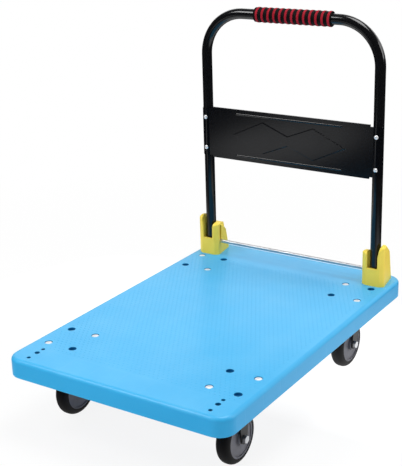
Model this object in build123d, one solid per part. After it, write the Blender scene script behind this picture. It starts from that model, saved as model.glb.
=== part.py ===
from build123d import *
import os
from math import atan2, ceil, cos, pi, radians, sin

# Folding platform cart: a ribbed moulded deck on two fixed and two swivel casters, with a bent tube
# handle that lifts on a cross rod and folds forward onto the deck.
# Millimetres. The floor is z = 0, +X is the cart's right, +Y points to the handle end, +Z is up.

# Deck
DECK_LENGTH = 720.0
DECK_WIDTH = 480.0
DECK_DEPTH = 37.0
DECK_CORNER = 32.0
DECK_TOP_ROUND = 8.0
DECK_FOOT_ROUND = 1.5
DECK_SKIN = 4.0
DECK_WALL = 4.0
DECK_SEAT_DEPTH = 27.0
RIB_THICKNESS = 3.0
RIB_PITCH = 62.0
RIB_FOOT_GAP = 3.0
POCKET_PLAY = 3.0
BOSS_WALL = 3.0
SEAT_STEP = 0.4
SEAT_MARGIN = 5.0

# Caster places in from the deck's edges, and bolt pattern
CASTER_SIDE_INSET = 60.0
FRONT_CASTER_INSET = 124.0
REAR_CASTER_INSET = 131.0
BOLT_SPACING_X = 58.0
BOLT_SPACING_Y = 68.0
BOLT_DIAMETER = 8.0
BOLT_HOLE_DIAMETER = 8.6
BOLT_RECESS_DIAMETER = 15.5
BOLT_RECESS_DEPTH = 5.5
BOLT_HEAD_DIAMETER = 14.5
BOLT_HEAD_HEIGHT = 4.6
BOLT_SOCKET = 5.0
BOLT_SOCKET_DEPTH = 2.6
NUT_FLATS = 13.0
NUT_HEIGHT = 6.5
THREAD_END = 2.0

# Casters
WHEEL_RADIUS = 50.0
TYRE_WIDTH = 28.0
TYRE_SHOULDER = 12.0
RIM_RADIUS = 38.0
RIM_THICKNESS = 4.0
RIM_INSET = 1.0
WEB_THICKNESS = 23.0
HUB_RADIUS = 13.0
HUB_LENGTH = 33.0
FORK_SIDE_PLAY = 0.5
FORK_SHEET = 2.5
FORK_EYE_RADIUS = 9.8
FORK_BEND = 2.4
HORN_TOP_WIDTH = 37.0
FORK_TOP_WIDTH = 36.0
AXLE_DIAMETER = 8.0
SLEEVE_RADIUS = 6.0
AXLE_HEAD_HEIGHT = 5.3
PLATE_LENGTH = 92.0
PLATE_WIDTH = 80.0
PLATE_CORNER = 8.0
PLATE_THICKNESS = 3.0
WHEEL_TOP_GAP = 16.0
CROWN_THICKNESS = 4.5
CROWN_RADIUS = 27.0
CASTER_TRAIL = 22.0
BALL_DIAMETER = 6.0
BALL_CIRCLE_RADIUS = 19.5
BALL_COUNT = 14
BALL_SINK = 1.5
BALL_PLAY = 0.3
BALL_SEAT = 0.05
KING_PIN_RADIUS = 5.0
KING_PIN_CONE = 2.5
KING_PIN_FLANGE_RADIUS = 8.5
KING_PIN_FLANGE_HEIGHT = 4.0
KING_PIN_END_PLAY = 0.3

# Handle
POST_SIDE_INSET = 37.5
POST_END_INSET = 64.5
TUBE_DIAMETER = 22.0
TUBE_WALL = 1.5
HANDLE_HEIGHT = 545.0
HANDLE_BEND = 90.0
TUBE_END_HEIGHT = 19.0
GRIP_DIAMETER = 32.0
GRIP_OFFSET = 9.0
GRIP_COLLAR = 5.0
GRIP_GROOVE_DEPTH = 0.8
GRIP_RING_COUNT = 13
GRIP_RING_WIDTH = 5.8
GRIP_GAP_WIDTH = 7.9
GRIP_EDGE = 0.6

# Guard panel, heights above the deck
PANEL_BOTTOM = 229.0
PANEL_TOP = 342.0
PANEL_SHEET = 1.2
PANEL_SET_FORWARD = 8.5
SADDLE_BOTTOM = 233.0
SADDLE_TOP = 338.0
SADDLE_WRAP = 84.0
HEM_THICKNESS = 4.0
HEM_HEIGHT = 7.0
HEM_ROUND = 1.5
HEM_END_GAP = 3.0
EMBOSS_HEIGHT = 1.8
EMBOSS_HALF_LENGTH = 135.0
EMBOSS_PEAK_X = 60.0
EMBOSS_HALF_HEIGHT = 35.0
EMBOSS_NECK = 11.0
BEAD_HALF_LENGTH = 125.0
BEAD_RADIUS = 2.6
BEAD_EDGE_GAP = 10.5
RIVET_HEIGHTS = (250.0, 318.0)
RIVET_HEAD_DIAMETER = 9.0
RIVET_HEAD_HEIGHT = 2.6
RIVET_SHANK_DIAMETER = 4.8
RIVET_TAIL_DIAMETER = 6.6
RIVET_TAIL_LENGTH = 3.0

# Hinge housings and cross rod, heights above the deck
ROD_DIAMETER = 8.0
ROD_HEIGHT = 30.0
LIFT = 33.0
FOLD = pi / 2
HOUSING_FRONT_REACH = 16.5
HOUSING_REAR_REACH = 49.5
HOUSING_WIDTH = 51.0
HOUSING_REAR_WIDTH = 32.0
HOUSING_FACET_X = 9.5
HOUSING_FACET_Y = 6.0
OUTER_CHEEK_TOP = 89.0
OUTER_FRONT_ROUND = 16.0
OUTER_CROWN_ROUND = 12.0
OUTER_CROWN_REACH = 3.5
OUTER_SHOULDER_REACH = 31.5
OUTER_SHOULDER_TOP = 68.0
INNER_CHEEK_TOP = 74.0
INNER_FRONT_ROUND = 11.0
INNER_CROWN_ROUND = 10.0
INNER_CROWN_REACH = 0.5
INNER_SHOULDER_REACH = 33.5
INNER_SHOULDER_TOP = 50.0
SHOULDER_ROUND = 14.0
CHEEK_EDGE_ROUND = 5.0
FRONT_WALL_TOP = 38.0
MOUTH_STRAIGHT_TOP = 64.0
SOCKET_SIDE_PLAY = 0.7
SOCKET_FRONT_PLAY = 0.5
SOCKET_FLOOR_PLAY = 1.5
SOCKET_REAR_PLAY = 1.2
SOCKET_FLARE = 5.0
LEAD_IN_PLAY = 0.7
LEAD_IN_FACETS = 4
FOLD_STEPS = 60
ROD_SLOT_PLAY = 0.3
ROD_END_DEPTH = 7.0
ROD_END_PLAY = 1.0
CORE_WALL = 6.5
CORE_HEIGHT = 17.0

# Hole rows that hold a housing at the rear and stay free at the front, placed from the posts
ROW_INSET = 5.0
ROW_SCREW_OFFSETS = (3.5, 43.5)
ROW_SPIGOT_OFFSET = 20.0
SCREW_DIAMETER = 6.0
SCREW_HOLE_DIAMETER = 8.0
SPIGOT_HOLE_DIAMETER = 10.5
SPIGOT_PLAY = 0.25
SPIGOT_LENGTH = 16.0
SCREW_HEAD_DIAMETER = 12.0
SCREW_HEAD_HEIGHT = 3.8
SCREW_BITE = 9.0

# Fits between pieces
RUNNING_FIT = 0.05
SEAT_FIT = 0.05
OVERCUT = 1.0

# Derived places
tube_radius = TUBE_DIAMETER / 2
rod_radius = ROD_DIAMETER / 2
ball_radius = BALL_DIAMETER / 2
caster_x = DECK_WIDTH / 2 - CASTER_SIDE_INSET
front_caster_y = -DECK_LENGTH / 2 + FRONT_CASTER_INSET
rear_caster_y = DECK_LENGTH / 2 - REAR_CASTER_INSET
post_x = DECK_WIDTH / 2 - POST_SIDE_INSET
post_y = DECK_LENGTH / 2 - POST_END_INSET
crown_bottom = 2 * WHEEL_RADIUS + WHEEL_TOP_GAP
crown_top = crown_bottom + CROWN_THICKNESS
ball_z = crown_top + ball_radius - BALL_SINK
plate_bottom = ball_z + ball_radius + BALL_SEAT
plate_top = plate_bottom + PLATE_THICKNESS
deck_top = plate_top + DECK_SEAT_DEPTH
deck_foot = deck_top - DECK_DEPTH
seat_top = deck_top - SEAT_STEP
rod_z = deck_top + ROD_HEIGHT
leg_inner = HUB_LENGTH / 2 + FORK_SIDE_PLAY
leg_outer = leg_inner + FORK_SHEET
socket_half = tube_radius + SOCKET_SIDE_PLAY
socket_front = post_y - tube_radius - SOCKET_FRONT_PLAY
cheek_parting = post_x - socket_half
housing_front = post_y - HOUSING_FRONT_REACH
housing_rear = post_y + HOUSING_REAR_REACH
tail_length = ROD_HEIGHT - TUBE_END_HEIGHT
tail_reach = (tail_length**2 + tube_radius**2) ** 0.5
socket_rear = post_y + tail_reach + SOCKET_REAR_PLAY
row_x = post_x - ROW_INSET
row_screw_y = [post_y + along for along in ROW_SCREW_OFFSETS]
row_spigot_y = post_y + ROW_SPIGOT_OFFSET
panel_back = post_y - PANEL_SET_FORWARD
panel_front = panel_back - PANEL_SHEET
saddle_inner = tube_radius + SEAT_FIT
saddle_outer = saddle_inner + PANEL_SHEET
grip_pitch = GRIP_RING_WIDTH + GRIP_GAP_WIDTH
grip_length = GRIP_COLLAR + (GRIP_RING_COUNT - 1) * grip_pitch + GRIP_RING_WIDTH


def block(x0, x1, y0, y1, z0, z1):
    """Box between two corners."""
    centre = Pos((x0 + x1) / 2, (y0 + y1) / 2, (z0 + z1) / 2)
    return centre * Box(x1 - x0, y1 - y0, z1 - z0)


def post_up(radius, x, y, z0, z1):
    """Upright cylinder from z0 to z1."""
    return Pos(x, y, (z0 + z1) / 2) * Cylinder(radius, z1 - z0)


def bar_across(radius, x0, x1, y, z):
    """Cylinder along X from x0 to x1."""
    return Pos((x0 + x1) / 2, y, z) * Rot(0, 90, 0) * Cylinder(radius, x1 - x0)


def hexagon(flats, height):
    """Hexagonal prism standing on the XY plane."""
    return extrude(RegularPolygon(flats / 2, 6, major_radius=False), height)


def profile_across(points, x0, x1):
    """Closed outline of (y, z) points carried along X from x0 to x1."""
    face = make_face(Polyline(*points, close=True))
    return Pos(x0, 0, 0) * extrude(Plane.YZ * face, x1 - x0)


def turned_along_x(points):
    """Ring turned about the X axis from an outline of (x, radius) points."""
    return revolve(make_face(Polyline(*points, close=True)), Axis.X)


def other_side(shape):
    """The same piece on the other side of the cart."""
    return mirror(shape, about=Plane.YZ)


def bolt_places():
    """Places of the four holes of a caster's bolt pattern, about its centre."""
    return [(sx * BOLT_SPACING_X / 2, sy * BOLT_SPACING_Y / 2) for sx in (-1, 1) for sy in (-1, 1)]


def caster_places():
    """Centre of each caster's bolt pattern, with the diagonal that holds its two bolts."""
    places = []
    for side in (-1, 1):
        places.append((side * caster_x, front_caster_y, 1))
        places.append((side * caster_x, rear_caster_y, -1))
    return places


def bolted_places():
    """Every caster hole that holds a bolt: two on one diagonal of each pattern."""
    places = []
    for x, y, diagonal in caster_places():
        for dx, dy in bolt_places():
            if dx * dy * diagonal > 0:
                places.append((x + dx, y + dy))
    return places


# Deck

def rib_lines(span):
    """Evenly spaced rib places across a span, no further apart than the rib pitch."""
    count = ceil(span / RIB_PITCH)
    return [span * (i / count - 0.5) for i in range(1, count)]


def row_places():
    """Places and diameters of the hole rows at the four corners of the deck."""
    holes = []
    for side in (-1, 1):
        for end in (-1, 1):
            for y in row_screw_y:
                holes.append((side * row_x, end * y, SCREW_HOLE_DIAMETER))
            holes.append((side * row_x, end * row_spigot_y, SPIGOT_HOLE_DIAMETER))
    return holes


def inside_plan():
    """Plan of the space inside the skirt."""
    return RectangleRounded(DECK_WIDTH - 2 * DECK_WALL, DECK_LENGTH - 2 * DECK_WALL, DECK_CORNER - DECK_WALL)


def rib_grid():
    """Plan of the crossing ribs inside the skirt."""
    inside_width = DECK_WIDTH - 2 * DECK_WALL
    inside_length = DECK_LENGTH - 2 * DECK_WALL
    plan = Sketch()
    plan += [Pos(x, 0) * Rectangle(RIB_THICKNESS, inside_length) for x in rib_lines(inside_width)]
    plan += [Pos(0, y) * Rectangle(inside_width, RIB_THICKNESS) for y in rib_lines(inside_length)]
    return plan & inside_plan()


def seat_ribs():
    """Plan of all that ends level with the casters' plates: ribs, caster frames and bosses."""
    plan = rib_grid()
    for x, y, _ in caster_places():
        frame = Rectangle(PLATE_WIDTH, PLATE_LENGTH)
        frame -= Rectangle(PLATE_WIDTH - 2 * RIB_THICKNESS, PLATE_LENGTH - 2 * RIB_THICKNESS)
        plan += Pos(x, y) * frame
        boss = Circle(BOLT_RECESS_DIAMETER / 2 + BOSS_WALL)
        plan += [Pos(x + dx, y + dy) * boss for dx, dy in bolt_places()]
    plan += [Pos(x, y) * Circle(d / 2 + BOSS_WALL) for x, y, d in row_places()]
    return plan & inside_plan()


def deep_ribs():
    """Plan of the ribs that go on down past the plates, clear of the casters and the screw heads."""
    plan = rib_grid()
    for x, y, _ in caster_places():
        plan -= Pos(x, y) * Rectangle(PLATE_WIDTH + 2 * POCKET_PLAY, PLATE_LENGTH + 2 * POCKET_PLAY)
    clear = Circle(SCREW_HEAD_DIAMETER / 2 + BOSS_WALL)
    return plan - [Pos(x, y) * clear for x, y, _ in row_places()]


def make_deck():
    """Moulded deck: rounded skin and skirt, ribs below, holes, and a low strip that seats the housings."""
    outline = RectangleRounded(DECK_WIDTH, DECK_LENGTH, DECK_CORNER)
    shell = Pos(0, 0, deck_foot) * extrude(outline, DECK_DEPTH)
    shell = fillet(shell.faces().sort_by(Axis.Z)[-1].edges(), DECK_TOP_ROUND)
    shell = fillet(shell.faces().sort_by(Axis.Z)[0].edges(), DECK_FOOT_ROUND)
    shell -= Pos(0, 0, deck_foot) * extrude(inside_plan(), DECK_DEPTH - DECK_SKIN)
    deck = shell + Pos(0, 0, plate_top) * extrude(seat_ribs(), DECK_SEAT_DEPTH - DECK_SKIN)
    rib_foot = deck_foot + RIB_FOOT_GAP
    deck += Pos(0, 0, rib_foot) * extrude(deep_ribs(), plate_top - rib_foot)
    over = deck_top + OVERCUT
    under = plate_top - OVERCUT
    for x, y, _ in caster_places():
        for dx, dy in bolt_places():
            deck -= post_up(BOLT_HOLE_DIAMETER / 2, x + dx, y + dy, under, over)
            deck -= post_up(BOLT_RECESS_DIAMETER / 2, x + dx, y + dy, deck_top - BOLT_RECESS_DEPTH, over)
    for x, y, diameter in row_places():
        deck -= post_up(diameter / 2, x, y, under, over)
    seat_front = housing_front - SEAT_MARGIN
    return deck - block(-DECK_WIDTH, DECK_WIDTH, seat_front, DECK_LENGTH, seat_top, over)


def make_caster_bolts():
    """Button head bolts that hold the casters from above."""
    seat = deck_top - BOLT_RECESS_DEPTH
    low = plate_bottom - NUT_HEIGHT - THREAD_END
    crown = (BOLT_HEAD_DIAMETER / 2) ** 2 / (2 * BOLT_HEAD_HEIGHT) + BOLT_HEAD_HEIGHT / 2
    dome = Pos(0, 0, seat + BOLT_HEAD_HEIGHT - crown) * Sphere(crown)
    head = dome & post_up(BOLT_HEAD_DIAMETER / 2, 0, 0, seat, seat + BOLT_HEAD_HEIGHT)
    socket = hexagon(BOLT_SOCKET, BOLT_SOCKET_DEPTH + OVERCUT)
    head -= Pos(0, 0, seat + BOLT_HEAD_HEIGHT - BOLT_SOCKET_DEPTH) * socket
    bolt = head + post_up(BOLT_DIAMETER / 2, 0, 0, low, seat)
    return [Pos(x, y, 0) * bolt for x, y in bolted_places()]


def make_caster_nuts():
    """Nuts under the caster plates."""
    nut = Pos(0, 0, plate_bottom - NUT_HEIGHT) * hexagon(NUT_FLATS, NUT_HEIGHT)
    nut -= post_up(BOLT_DIAMETER / 2 + SEAT_FIT, 0, 0, plate_bottom - NUT_HEIGHT - OVERCUT, plate_top)
    return [Pos(x, y, 0) * nut for x, y in bolted_places()]


# Casters, about the centre of their bolt pattern, for the right-hand side

def caster_plate():
    """Rounded top plate with its four bolt holes."""
    plan = RectangleRounded(PLATE_WIDTH, PLATE_LENGTH, PLATE_CORNER)
    plan -= [Pos(dx, dy) * Circle(BOLT_HOLE_DIAMETER / 2) for dx, dy in bolt_places()]
    return Pos(0, 0, plate_bottom) * extrude(plan, PLATE_THICKNESS)


def fork_legs(top_width, top_z, axle_y):
    """Two tapered legs from a straight top edge down to the round eyes at the axle."""
    top = Pos(0, top_z) * Rectangle(top_width, FORK_SHEET, align=(Align.CENTER, Align.MAX))
    eye = Pos(axle_y, WHEEL_RADIUS) * Circle(FORK_EYE_RADIUS)
    outline = make_hull(top.edges() + eye.edges())
    leg = Pos(leg_inner, 0, 0) * extrude(Plane.YZ * outline, FORK_SHEET)
    leg -= bar_across(AXLE_DIAMETER / 2 + SEAT_FIT, 0, leg_outer + OVERCUT, axle_y, WHEEL_RADIUS)
    return leg + other_side(leg)


def make_horn():
    """Fixed caster's horn: plate and legs pressed from sheet."""
    horn = caster_plate() + fork_legs(HORN_TOP_WIDTH, plate_bottom, 0.0)
    under_plate = horn.edges().filter_by(Axis.Y).filter_by_position(
        Axis.Z, plate_bottom - SEAT_FIT, plate_bottom + SEAT_FIT)
    bends = [edge for edge in under_plate if abs(abs(edge.center().X) - leg_outer) < SEAT_FIT]
    return fillet(bends, FORK_BEND)


def make_swivel_plate():
    """Swivel caster's top plate with the countersunk seat of the king pin."""
    plate = caster_plate()
    return plate - king_pin_shape(SEAT_FIT)


def king_pin_shape(swell):
    """King pin turned about its own axis: flush cone, shank and riveted flange."""
    shank = KING_PIN_RADIUS + swell
    cone = KING_PIN_RADIUS + KING_PIN_CONE + swell
    flange = KING_PIN_FLANGE_RADIUS
    flange_top = crown_bottom - KING_PIN_END_PLAY
    flange_low = flange_top - KING_PIN_FLANGE_HEIGHT
    points = [(0, flange_low), (flange, flange_low), (flange, flange_top), (shank, flange_top),
              (shank, plate_bottom), (cone, plate_top), (0, plate_top)]
    return revolve(Plane.XZ * make_face(Polyline(*points, close=True)), Axis.Z)


def make_king_pin():
    """King pin that holds the fork under the plate."""
    return king_pin_shape(0.0)


def make_race_balls():
    """Ring of bearing balls between the plate and the fork's crown."""
    step = 360 / BALL_COUNT
    ball = Pos(BALL_CIRCLE_RADIUS, 0, ball_z) * Sphere(ball_radius)
    return [Rot(0, 0, i * step) * ball for i in range(BALL_COUNT)]


def make_fork():
    """Swivel fork: grooved crown, with legs that trail behind the king pin."""
    fork = post_up(CROWN_RADIUS, 0, 0, crown_bottom, crown_top)
    fork += fork_legs(FORK_TOP_WIDTH, crown_bottom, -CASTER_TRAIL)
    fork -= post_up(KING_PIN_RADIUS + RUNNING_FIT, 0, 0, crown_bottom - OVERCUT, crown_top + OVERCUT)
    return fork - Pos(0, 0, ball_z) * Torus(BALL_CIRCLE_RADIUS, ball_radius + BALL_PLAY)


def make_axle_bolt(axle_y):
    """Hexagon head axle bolt, head on the outer side of the cart."""
    end = -leg_outer - NUT_HEIGHT - THREAD_END
    shank = bar_across(AXLE_DIAMETER / 2, end, leg_outer, axle_y, WHEEL_RADIUS)
    head = Rot(0, 90, 0) * hexagon(NUT_FLATS, AXLE_HEAD_HEIGHT)
    return shank + Pos(leg_outer, axle_y, WHEEL_RADIUS) * head


def make_axle_nut(axle_y):
    """Nut on the inner end of the axle bolt."""
    end = -leg_outer - NUT_HEIGHT
    nut = Pos(end, axle_y, WHEEL_RADIUS) * Rot(0, 90, 0) * hexagon(NUT_FLATS, NUT_HEIGHT)
    return nut - bar_across(AXLE_DIAMETER / 2 + SEAT_FIT, end - OVERCUT, 0, axle_y, WHEEL_RADIUS)


def make_axle_sleeve(axle_y):
    """Sleeve between the legs on which the wheel turns."""
    sleeve = bar_across(SLEEVE_RADIUS, -leg_inner, leg_inner, axle_y, WHEEL_RADIUS)
    bore = AXLE_DIAMETER / 2 + SEAT_FIT
    return sleeve - bar_across(bore, -leg_inner - OVERCUT, leg_inner + OVERCUT, axle_y, WHEEL_RADIUS)


def make_wheel_core(axle_y):
    """Moulded wheel core: bored hub, web and rim."""
    bore = SLEEVE_RADIUS + RUNNING_FIT
    hub = HUB_LENGTH / 2
    web = WEB_THICKNESS / 2
    rim = TYRE_WIDTH / 2 - RIM_INSET
    rim_inner = RIM_RADIUS - RIM_THICKNESS
    half = [(hub, bore), (hub, HUB_RADIUS), (web, HUB_RADIUS),
            (web, rim_inner), (rim, rim_inner), (rim, RIM_RADIUS)]
    points = half + [(-x, r) for x, r in reversed(half)]
    return Pos(0, axle_y, WHEEL_RADIUS) * turned_along_x(points)


def make_tyre(axle_y):
    """Round shouldered tyre on the rim."""
    side = TYRE_WIDTH / 2
    tread = side - TYRE_SHOULDER
    wall_top = WHEEL_RADIUS - TYRE_SHOULDER
    bore = RIM_RADIUS + SEAT_FIT
    right = CenterArc((tread, wall_top), TYRE_SHOULDER, 0, 90)
    left = CenterArc((-tread, wall_top), TYRE_SHOULDER, 90, 90)
    outline = [Line((-tread, WHEEL_RADIUS), (tread, WHEEL_RADIUS)), right, left,
               Polyline((side, wall_top), (side, bore), (-side, bore), (-side, wall_top))]
    section = make_face(Curve() + outline)
    return Pos(0, axle_y, WHEEL_RADIUS) * revolve(section, Axis.X)


# Handle

def handle_run(radius):
    """Round bar of the given radius along the handle's bent line."""
    low = deck_top + TUBE_END_HEIGHT
    high = deck_top + HANDLE_HEIGHT
    corners = [(-post_x, post_y, low), (-post_x, post_y, high),
               (post_x, post_y, high), (post_x, post_y, low)]
    line = FilletPolyline(*corners, radius=HANDLE_BEND)
    return sweep(Pos(-post_x, post_y, low) * Circle(radius), path=line)


def make_handle_tube():
    """Bent handle tube, cross drilled for the rod and drilled for the panel's rivets."""
    tube = handle_run(tube_radius) - handle_run(tube_radius - TUBE_WALL)
    end = post_x + TUBE_DIAMETER
    tube -= bar_across(rod_radius + RUNNING_FIT, -end, end, post_y, rod_z)
    return tube - rivet_holes()


def rivet_holes():
    """Cylinders that drill the rivets' holes from the front of the posts."""
    hole = Rot(90, 0, 0) * Cylinder(RIVET_SHANK_DIAMETER / 2 + SEAT_FIT, TUBE_DIAMETER)
    return [Pos(side * post_x, post_y - TUBE_DIAMETER / 2, deck_top + height) * hole
            for side in (-1, 1) for height in RIVET_HEIGHTS]


def make_panel_rivets():
    """Blind rivets with domed heads in front and upset tails inside the tube."""
    head = RIVET_HEAD_DIAMETER / 2
    shank = RIVET_SHANK_DIAMETER / 2
    tail = RIVET_TAIL_DIAMETER / 2
    bore = tube_radius - TUBE_WALL
    tail_start = (bore**2 - tail**2) ** 0.5 - saddle_outer - 2 * SEAT_FIT
    tail_end = tail_start - RIVET_TAIL_LENGTH
    shoulder = (head * sin(pi / 4), RIVET_HEAD_HEIGHT * cos(pi / 4))
    dome = ThreePointArc((0, RIVET_HEAD_HEIGHT), shoulder, (head, 0))
    body = Polyline((head, 0), (shank, 0), (shank, tail_start),
                    (tail, tail_start), (tail, tail_end), (0, tail_end))
    section = make_face(Curve() + [dome, body, Line((0, tail_end), (0, RIVET_HEAD_HEIGHT))])
    rivet = Rot(90, 0, 0) * revolve(Plane.XZ * section, Axis.Z)
    return [Pos(side * post_x, post_y - saddle_outer - SEAT_FIT, deck_top + height) * rivet
            for side in (-1, 1) for height in RIVET_HEIGHTS]


def emboss_outline():
    """Outline of the two joined diamonds pressed into the panel, about its centre."""
    upper = [(-EMBOSS_PEAK_X, EMBOSS_HALF_HEIGHT), (0, EMBOSS_NECK), (EMBOSS_PEAK_X, EMBOSS_HALF_HEIGHT)]
    lower = [(-x, -z) for x, z in upper]
    return [(-EMBOSS_HALF_LENGTH, 0)] + upper + [(EMBOSS_HALF_LENGTH, 0)] + lower


def emboss_block(base_y):
    """Bevelled diamond block that stands forward from a plane at base_y."""
    foot = make_face(Polyline(*emboss_outline(), close=True))
    top = offset(foot, amount=-EMBOSS_HEIGHT, kind=Kind.INTERSECTION)
    centre = deck_top + (PANEL_BOTTOM + PANEL_TOP) / 2
    plane = Plane(origin=(0, base_y, centre), x_dir=(1, 0, 0), z_dir=(0, -1, 0))
    return loft([plane * foot, plane.offset(EMBOSS_HEIGHT) * top], ruled=True)


def bead_bars(radius, y):
    """Round ended bars along the two long beads of the panel."""
    shapes = []
    for height in (PANEL_BOTTOM + BEAD_EDGE_GAP, PANEL_TOP - BEAD_EDGE_GAP):
        z = deck_top + height
        shapes.append(bar_across(radius, -BEAD_HALF_LENGTH, BEAD_HALF_LENGTH, y, z))
        shapes += [Pos(side * BEAD_HALF_LENGTH, y, z) * Sphere(radius) for side in (-1, 1)]
    return shapes


def make_guard_panel():
    """Pressed sheet panel: hemmed edges, embossed field, and saddles round the front of the posts."""
    low = deck_top + PANEL_BOTTOM
    high = deck_top + PANEL_TOP
    joint = (saddle_inner**2 - PANEL_SET_FORWARD**2) ** 0.5
    joint_x = post_x - joint
    flat_half = post_x - saddle_outer - HEM_END_GAP
    saddle_low = deck_top + SADDLE_BOTTOM
    saddle_high = deck_top + SADDLE_TOP
    panel = block(-flat_half, flat_half, panel_front, panel_back, low, high)
    panel += block(-joint_x, joint_x, panel_front, panel_back, saddle_low, saddle_high)
    hem_back = panel_front + HEM_THICKNESS
    for z0 in (low, high - HEM_HEIGHT):
        hem = block(-flat_half, flat_half, panel_front, hem_back, z0, z0 + HEM_HEIGHT)
        panel += fillet(hem.edges().filter_by(Axis.X), HEM_ROUND)
    saddle = saddle_ring(atan2(joint, PANEL_SET_FORWARD), saddle_low, saddle_high)
    panel += [saddle, other_side(saddle)]
    panel += emboss_block(panel_front)
    panel -= emboss_block(panel_back)
    front_space = block(-post_x, post_x, panel_front - BEAD_RADIUS, panel_front, low, high)
    panel += [bar & front_space for bar in bead_bars(BEAD_RADIUS, panel_back)]
    panel -= bead_bars(BEAD_RADIUS - PANEL_SHEET, panel_back)
    return panel - rivet_holes()


def saddle_ring(inner_turn, low, high):
    """Part of a ring of sheet round the front of the right-hand post, from the flat to its outer side."""
    ring = Circle(saddle_outer) - Circle(saddle_inner)
    reach = 2 * saddle_outer
    outer_turn = radians(SADDLE_WRAP)
    ends = [(reach * sin(turn), -reach * cos(turn)) for turn in (-inner_turn, 0, outer_turn)]
    wedge = make_face(Polyline((0, 0), *ends, close=True))
    return Pos(post_x, post_y, low) * extrude(ring & wedge, high - low)


def make_foam_grip():
    """Foam sleeve on the top bar with raised rings."""
    ring = GRIP_DIAMETER / 2
    groove = ring - GRIP_GROOVE_DEPTH
    bore = tube_radius + SEAT_FIT
    points = [(0, bore), (0, groove - GRIP_EDGE), (GRIP_EDGE, groove)]
    for i in range(GRIP_RING_COUNT):
        start = GRIP_COLLAR + i * grip_pitch
        end = start + GRIP_RING_WIDTH
        points += [(start, groove), (start + GRIP_EDGE, ring), (end - GRIP_EDGE, ring), (end, groove)]
    points.append((grip_length, bore))
    left_end = GRIP_OFFSET - grip_length / 2
    return Pos(left_end, post_y, deck_top + HANDLE_HEIGHT) * turned_along_x(points)


# Hinge

def make_hinge_rod():
    """Cross rod through both posts, held in the slots of both housings."""
    end = post_x + socket_half + ROD_END_DEPTH - ROD_END_PLAY
    return bar_across(rod_radius, -end, end, post_y, rod_z)


def housing_plan():
    """Plan of the right-hand housing: faceted front corners and a taper to the rear."""
    front_half = HOUSING_WIDTH / 2
    rear_half = HOUSING_REAR_WIDTH / 2
    flat = front_half - HOUSING_FACET_X
    facet_y = housing_front + HOUSING_FACET_Y
    rear = housing_rear + OVERCUT
    right = [(flat, housing_front), (front_half, facet_y), (rear_half, rear)]
    left = [(-x, y) for x, y in reversed(right)]
    return Pos(post_x, 0) * make_face(Polyline(*right, *left, close=True))


def cheek_side(corners, rounds):
    """Side outline of a cheek from its upper corners: a rounded crown and a rear that leans to the foot."""
    shoulder_y, shoulder_top = corners[-1]
    lean = (housing_rear - shoulder_y) / shoulder_top
    foot = [(housing_rear + lean * OVERCUT, -OVERCUT), (corners[0][0], -OVERCUT)]
    face = make_face(Polyline(*corners, *foot, close=True))
    for corner, radius in zip(corners, rounds):
        face = fillet(face.vertices().sort_by_distance(corner)[0], radius)
    return face


def make_cheek(side, x0, x1):
    """One cheek of the housing, with round edges except at its foot and against the other cheek."""
    cheek = Pos(x0, 0, deck_top) * extrude(Plane.YZ * side, x1 - x0)
    cheek &= Pos(0, 0, seat_top) * extrude(housing_plan(), OUTER_CHEEK_TOP + SEAT_STEP)
    soft = []
    for edge in cheek.edges():
        reach = edge.bounding_box()
        at_parting = max(abs(reach.min.X - cheek_parting), abs(reach.max.X - cheek_parting)) < SEAT_FIT
        if reach.max.Z > seat_top + SEAT_FIT and not at_parting:
            soft.append(edge)
    return fillet(soft, CHEEK_EDGE_ROUND)


def housing_body():
    """The two cheeks of the housing, the outer one taller, before the socket is cut."""
    front = housing_front - OVERCUT
    outer = [(front, OUTER_CHEEK_TOP), (post_y + OUTER_CROWN_REACH, OUTER_CHEEK_TOP),
             (post_y + OUTER_SHOULDER_REACH, OUTER_SHOULDER_TOP)]
    inner = [(front, INNER_CHEEK_TOP), (post_y + INNER_CROWN_REACH, INNER_CHEEK_TOP),
             (post_y + INNER_SHOULDER_REACH, INNER_SHOULDER_TOP)]
    outer_side = cheek_side(outer, (OUTER_FRONT_ROUND, OUTER_CROWN_ROUND, SHOULDER_ROUND))
    inner_side = cheek_side(inner, (INNER_FRONT_ROUND, INNER_CROWN_ROUND, SHOULDER_ROUND))
    body = make_cheek(outer_side, cheek_parting, post_x + HOUSING_WIDTH / 2 + OVERCUT)
    return body + make_cheek(inner_side, post_x - HOUSING_WIDTH / 2 - OVERCUT, cheek_parting)


def lead_in_offset(height):
    """Furthest reach of the lifting, tipping tube forward of the rod, at a height above the rod."""
    reach = tube_radius
    for i in range(1, FOLD_STEPS):
        angle = FOLD * i / FOLD_STEPS
        raised = LIFT * i / FOLD_STEPS
        reach = max(reach, (tube_radius + (height - raised) * sin(angle)) / cos(angle))
    return reach


def make_housing():
    """Right-hand hinge housing: socket for the post, slots for the rod, spigot and screw holes below."""
    floor = deck_top + TUBE_END_HEIGHT - SOCKET_FLOOR_PLAY
    top = deck_top + OUTER_CHEEK_TOP + OVERCUT
    housing = housing_body()
    housing -= block(cheek_parting, post_x + socket_half, socket_front, socket_rear, floor, top)
    housing -= socket_mouth()
    housing -= lead_in_cut()
    housing -= rod_slot(post_x - HOUSING_WIDTH / 2 - OVERCUT, post_x)
    housing -= rod_slot(post_x, post_x + socket_half + ROD_END_DEPTH)
    housing -= rear_core()
    spigot = SPIGOT_HOLE_DIAMETER / 2 - SPIGOT_PLAY
    housing += post_up(spigot, row_x, row_spigot_y, deck_top - SPIGOT_LENGTH, deck_top)
    screw = SCREW_DIAMETER / 2 + SEAT_FIT
    for y in row_screw_y:
        housing -= post_up(screw, row_x, y, deck_top - OVERCUT, deck_top + SCREW_BITE)
    return housing


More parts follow.
